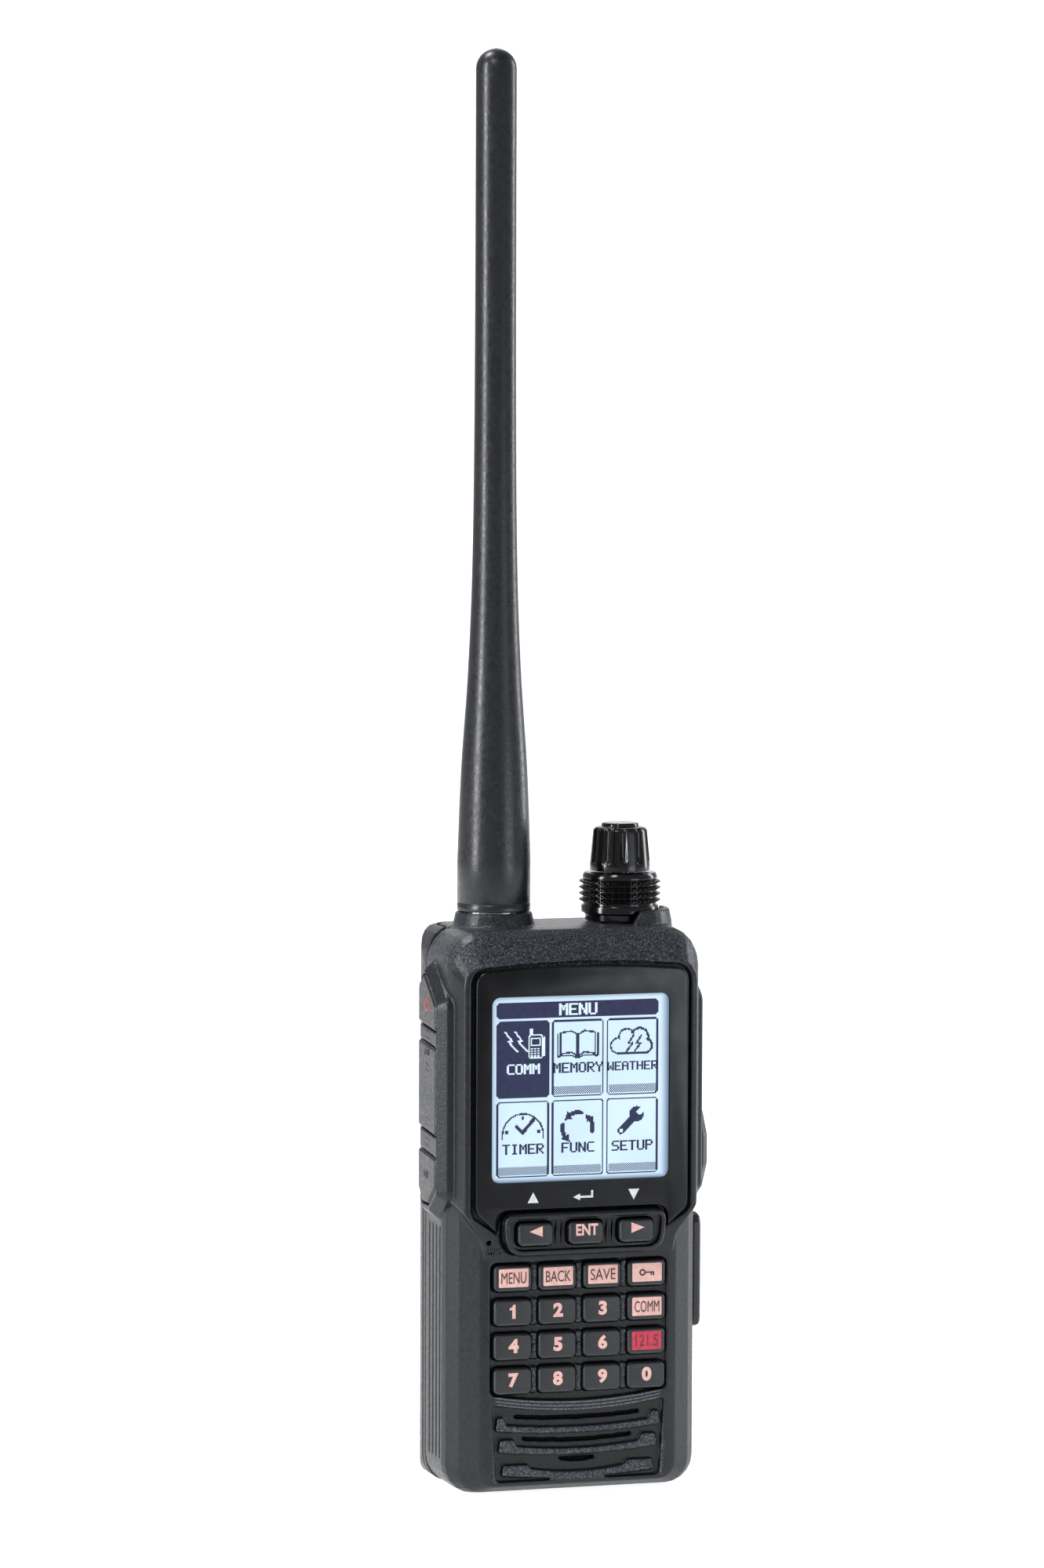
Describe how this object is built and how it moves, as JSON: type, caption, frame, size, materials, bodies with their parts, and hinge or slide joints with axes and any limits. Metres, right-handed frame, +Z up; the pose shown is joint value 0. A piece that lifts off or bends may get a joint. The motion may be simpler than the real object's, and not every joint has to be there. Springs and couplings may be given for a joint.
{
  "type": "handheld aviation radio",
  "caption": "Handheld airband radio with a square screen, keypad, speaker grille, side keys, dual top knob, rod antenna, covered jacks and a rear battery pack with belt clip.",
  "frame": {"origin": "centre of the case's flat bottom face: mid-width, and halfway between the front and back of the 35 mm deep body", "axes": "+Z up along the body to the antenna, -Y out of the front face (screen and keypad), +X to the right seen from the front"},
  "size_m": [0.0682, 0.0454, 0.3383],
  "materials": {
    "case": "fine grain",
    "chassis": "satin",
    "lens": "gloss",
    "screen": "lit",
    "board": "satin",
    "steel": "satin",
    "nickel": "satin",
    "rubber": "matt",
    "connector": "matt",
    "gloss_black": "gloss",
    "key": "matt",
    "key_label": "matt",
    "key_red": "matt",
    "cell": "satin"
  },
  "bodies": {
    "case": {"front_case": "case", "rear_case": "chassis", "display_lens": "lens", "lcd_module": "screen", "lcd_backlight": "screen", "nav_bezel": "case", "main_board": "board", "rf_shield": "steel", "keypad_mat": "rubber", "speaker": "steel", "speaker_mesh": "rubber", "microphone": "connector", "encoder": "steel", "encoder_nut": "steel", "antenna_jack": "nickel", "audio_jack": "connector", "dc_jack": "connector", "contact_block": "connector", "case_screw_left": "steel", "case_screw_right": "steel"},
    "antenna": {"antenna_jacket": "rubber", "antenna_core": "steel", "antenna_plug": "nickel"},
    "volume": {"volume_knob": "gloss_black", "volume_shaft": "steel"},
    "dial": {"dial_ring": "gloss_black", "dial_sleeve": "steel"},
    "audio_cover": {"audio_jack_cover": "rubber"},
    "dc_cover": {"dc_jack_cover": "rubber"},
    "battery": {"battery_housing": "case", "battery_cover": "chassis", "battery_cells": "cell", "clip_bracket": "steel", "clip_pin": "steel", "clip_screw_left": "steel", "clip_screw_right": "steel"},
    "latch": {"battery_latch": "connector"},
    "clip": {"belt_clip": "case"},
    "key_menu": {"key_menu": "key_label"},
    "key_back": {"key_back": "key_label"},
    "key_save": {"key_save": "key_label"},
    "key_lock": {"key_lock": "key_label"},
    "key_1": {"key_1": "key"},
    "key_2": {"key_2": "key"},
    "key_3": {"key_3": "key"},
    "key_comm": {"key_comm": "key_label"},
    "key_4": {"key_4": "key"},
    "key_5": {"key_5": "key"},
    "key_6": {"key_6": "key"},
    "key_emergency": {"key_emergency": "key_red"},
    "key_7": {"key_7": "key"},
    "key_8": {"key_8": "key"},
    "key_9": {"key_9": "key"},
    "key_0": {"key_0": "key"},
    "nav_left": {"nav_left": "key"},
    "nav_enter": {"nav_enter": "key"},
    "nav_right": {"nav_right": "key"},
    "power_key": {"power_key": "rubber"},
    "ptt_key": {"ptt_key": "rubber"},
    "squelch_key": {"squelch_key": "rubber"}
  },
  "joints": [
    {"name": "key_menu_press", "type": "slide", "parent": "case", "child": "key_menu", "axis": [0, 1, 0], "range_m": [0, 0.0006], "stiffness_N_per_m": 500, "springref_m": -0.0006},
    {"name": "key_back_press", "type": "slide", "parent": "case", "child": "key_back", "axis": [0, 1, 0], "range_m": [0, 0.0006], "stiffness_N_per_m": 500, "springref_m": -0.0006},
    {"name": "key_save_press", "type": "slide", "parent": "case", "child": "key_save", "axis": [0, 1, 0], "range_m": [0, 0.0006], "stiffness_N_per_m": 500, "springref_m": -0.0006},
    {"name": "key_lock_press", "type": "slide", "parent": "case", "child": "key_lock", "axis": [0, 1, 0], "range_m": [0, 0.0006], "stiffness_N_per_m": 500, "springref_m": -0.0006},
    {"name": "key_1_press", "type": "slide", "parent": "case", "child": "key_1", "axis": [0, 1, 0], "range_m": [0, 0.0006], "stiffness_N_per_m": 500, "springref_m": -0.0006},
    {"name": "key_2_press", "type": "slide", "parent": "case", "child": "key_2", "axis": [0, 1, 0], "range_m": [0, 0.0006], "stiffness_N_per_m": 500, "springref_m": -0.0006},
    {"name": "key_3_press", "type": "slide", "parent": "case", "child": "key_3", "axis": [0, 1, 0], "range_m": [0, 0.0006], "stiffness_N_per_m": 500, "springref_m": -0.0006},
    {"name": "key_comm_press", "type": "slide", "parent": "case", "child": "key_comm", "axis": [0, 1, 0], "range_m": [0, 0.0006], "stiffness_N_per_m": 500, "springref_m": -0.0006},
    {"name": "key_4_press", "type": "slide", "parent": "case", "child": "key_4", "axis": [0, 1, 0], "range_m": [0, 0.0006], "stiffness_N_per_m": 500, "springref_m": -0.0006},
    {"name": "key_5_press", "type": "slide", "parent": "case", "child": "key_5", "axis": [0, 1, 0], "range_m": [0, 0.0006], "stiffness_N_per_m": 500, "springref_m": -0.0006},
    {"name": "key_6_press", "type": "slide", "parent": "case", "child": "key_6", "axis": [0, 1, 0], "range_m": [0, 0.0006], "stiffness_N_per_m": 500, "springref_m": -0.0006},
    {"name": "key_emergency_press", "type": "slide", "parent": "case", "child": "key_emergency", "axis": [0, 1, 0], "range_m": [0, 0.0006], "stiffness_N_per_m": 500, "springref_m": -0.0006},
    {"name": "key_7_press", "type": "slide", "parent": "case", "child": "key_7", "axis": [0, 1, 0], "range_m": [0, 0.0006], "stiffness_N_per_m": 500, "springref_m": -0.0006},
    {"name": "key_8_press", "type": "slide", "parent": "case", "child": "key_8", "axis": [0, 1, 0], "range_m": [0, 0.0006], "stiffness_N_per_m": 500, "springref_m": -0.0006},
    {"name": "key_9_press", "type": "slide", "parent": "case", "child": "key_9", "axis": [0, 1, 0], "range_m": [0, 0.0006], "stiffness_N_per_m": 500, "springref_m": -0.0006},
    {"name": "key_0_press", "type": "slide", "parent": "case", "child": "key_0", "axis": [0, 1, 0], "range_m": [0, 0.0006], "stiffness_N_per_m": 500, "springref_m": -0.0006},
    {"name": "nav_left_press", "type": "slide", "parent": "case", "child": "nav_left", "axis": [0, 1, 0], "range_m": [0, 0.0006], "stiffness_N_per_m": 500, "springref_m": -0.0006},
    {"name": "nav_enter_press", "type": "slide", "parent": "case", "child": "nav_enter", "axis": [0, 1, 0], "range_m": [0, 0.0006], "stiffness_N_per_m": 500, "springref_m": -0.0006},
    {"name": "nav_right_press", "type": "slide", "parent": "case", "child": "nav_right", "axis": [0, 1, 0], "range_m": [0, 0.0006], "stiffness_N_per_m": 500, "springref_m": -0.0006},
    {"name": "power_key_press", "type": "slide", "parent": "case", "child": "power_key", "axis": [1, 0, 0], "range_m": [0, 0.0008], "stiffness_N_per_m": 800, "springref_m": -0.0008},
    {"name": "ptt_key_press", "type": "slide", "parent": "case", "child": "ptt_key", "axis": [1, 0, 0], "range_m": [0, 0.0008], "stiffness_N_per_m": 800, "springref_m": -0.0008},
    {"name": "squelch_key_press", "type": "slide", "parent": "case", "child": "squelch_key", "axis": [1, 0, 0], "range_m": [0, 0.0008], "stiffness_N_per_m": 800, "springref_m": -0.0008},
    {"name": "volume_turn", "type": "hinge", "parent": "case", "child": "volume", "pos_m": [0.0156, 0.0025, 0.15], "axis": [0, 0, 1], "range_deg": [-150, 150]},
    {"name": "dial_turn", "type": "hinge", "parent": "case", "child": "dial", "pos_m": [0.0156, 0.0025, 0.141], "axis": [0, 0, 1], "continuous": true},
    {"name": "antenna_bayonet", "type": "hinge", "parent": "case", "child": "antenna", "pos_m": [-0.0156, 0.0025, 0.14], "axis": [0, 0, 1], "range_deg": [0, 90]},
    {"name": "audio_cover_flap", "type": "hinge", "parent": "case", "child": "audio_cover", "pos_m": [0.0332, 0.0038, 0.0786], "axis": [0, 0, 1], "range_deg": [0, 90]},
    {"name": "dc_cover_flap", "type": "hinge", "parent": "case", "child": "dc_cover", "pos_m": [0.0314, 0.003, 0.0501], "axis": [0, 0, 1], "range_deg": [0, 90]},
    {"name": "battery_release", "type": "slide", "parent": "case", "child": "battery", "axis": [0, 1, 0], "range_m": [0, 0.014]},
    {"name": "latch_slide", "type": "slide", "parent": "battery", "child": "latch", "axis": [0, 0, 1], "range_m": [0, 0.0025], "stiffness_N_per_m": 600, "springref_m": -0.0012},
    {"name": "clip_pivot", "type": "hinge", "parent": "battery", "child": "clip", "pos_m": [0, 0.0223, 0.078], "axis": [1, 0, 0], "range_deg": [0, 18], "stiffness_Nm_per_rad": 0.3, "springref_deg": -14.32}
  ]
}
